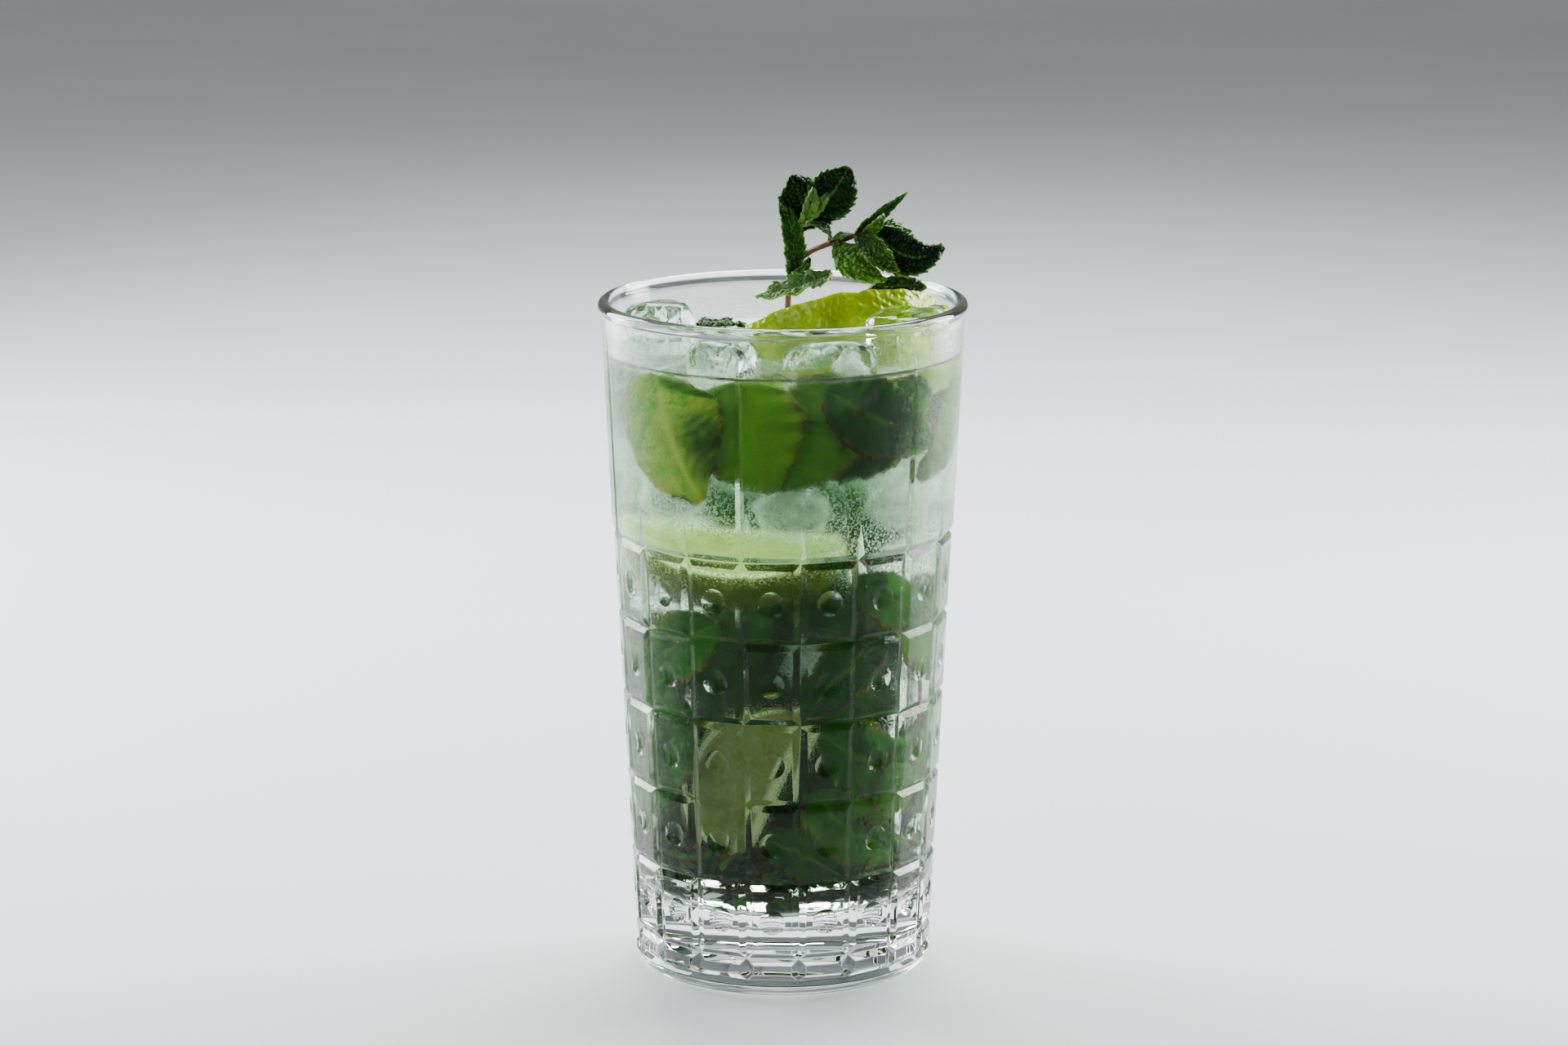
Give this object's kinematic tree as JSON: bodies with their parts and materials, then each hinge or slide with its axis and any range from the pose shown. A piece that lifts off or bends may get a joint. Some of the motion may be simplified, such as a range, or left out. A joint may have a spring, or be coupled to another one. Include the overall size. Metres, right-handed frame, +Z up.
{
  "type": "mojito cocktail",
  "caption": "Mojito in a tall pressed-glass tumbler with square panels and dimples, with ice, a lime wedge and a mint sprig at the top.",
  "frame": {"origin": "centre of the tumbler's foot, on the plane it stands on", "axes": "+Z up along the tumbler's axis, -Y towards the side that faces the picture's camera, +X to its right"},
  "size_m": [0.0848, 0.0848, 0.1857],
  "materials": {
    "clear_glass": "clear pressed soda-lime glass, misted outside by the cold drink",
    "drink": "clear, faintly green liquid",
    "ice": "clear wet ice with a cloudy core",
    "lime": "waxy, pored rind with pale flesh",
    "mint": "matt, puckered fresh leaf with a satin sheen"
  },
  "bodies": {
    "root": {"glass": "clear_glass", "drink": "drink", "lime_wedge": "lime", "ice_left": "ice", "ice_front_left": "ice", "ice_front": "ice", "ice_right": "ice", "ice_chip": "ice", "mint_sprig": "mint", "mint_leaf_front": "mint", "mint_leaf_right": "mint", "mint_leaf_back": "mint"}
  },
  "joints": []
}
